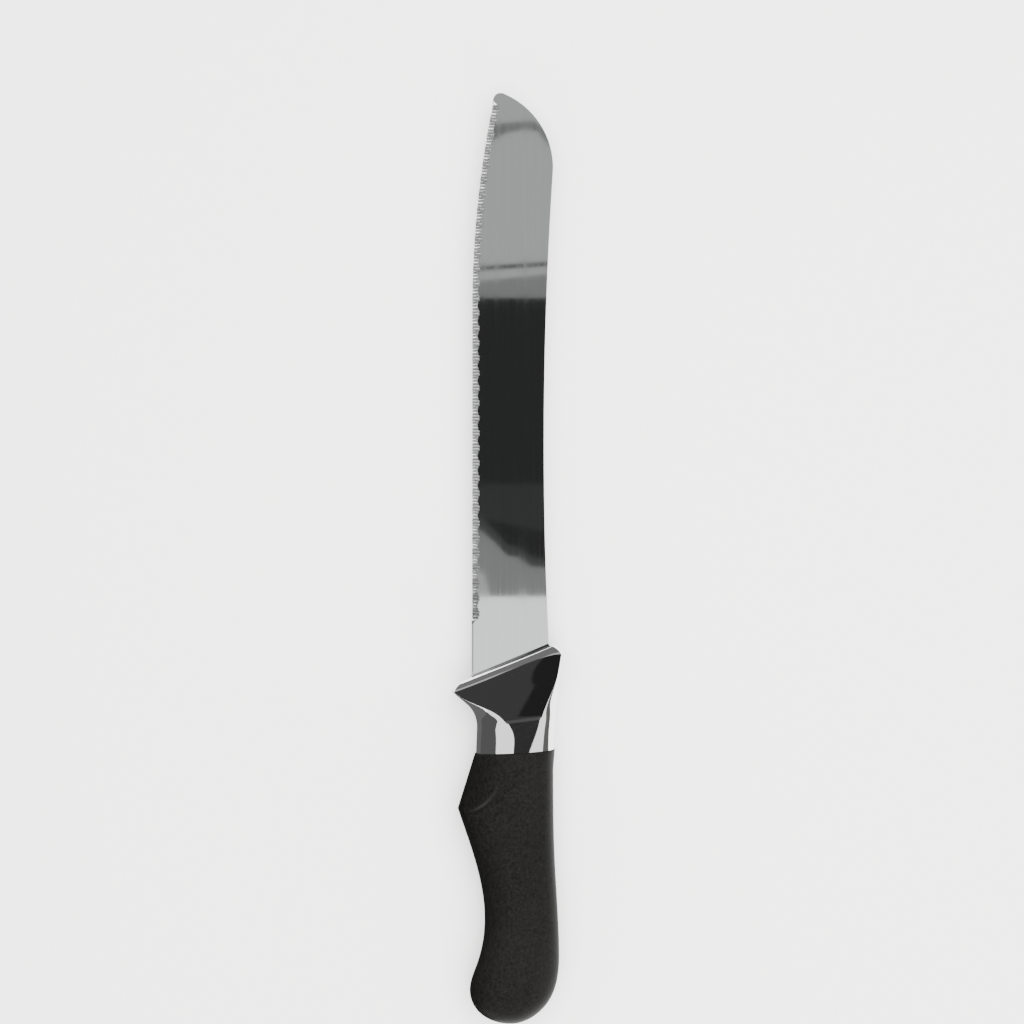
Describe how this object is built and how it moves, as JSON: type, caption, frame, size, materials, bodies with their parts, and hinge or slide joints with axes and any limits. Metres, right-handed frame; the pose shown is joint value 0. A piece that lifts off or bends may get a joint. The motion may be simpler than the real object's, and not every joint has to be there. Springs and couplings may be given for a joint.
{
  "type": "bread knife",
  "caption": "Serrated bread knife with a rounded nose, a bright flared collar with a slanted front, and a hooked soft black grip.",
  "frame": {"origin": "middle of the knife's box, in the middle of the blade's thickness", "axes": "+Y from the butt to the tip, +X from the cutting edge to the spine, +Z out of the ground face of the blade"},
  "size_m": [0.037, 0.31, 0.0204],
  "materials": {
    "blade_steel": "mirror polished with fine lengthwise lines, ground band left satin",
    "bright_plating": "bright chrome plating",
    "core_plastic": "as moulded, hidden",
    "soft_grip": "matte black with a fine grain"
  },
  "bodies": {
    "root": {"blade": "blade_steel", "collar": "bright_plating", "handle_core": "core_plastic", "grip": "soft_grip"}
  },
  "joints": []
}
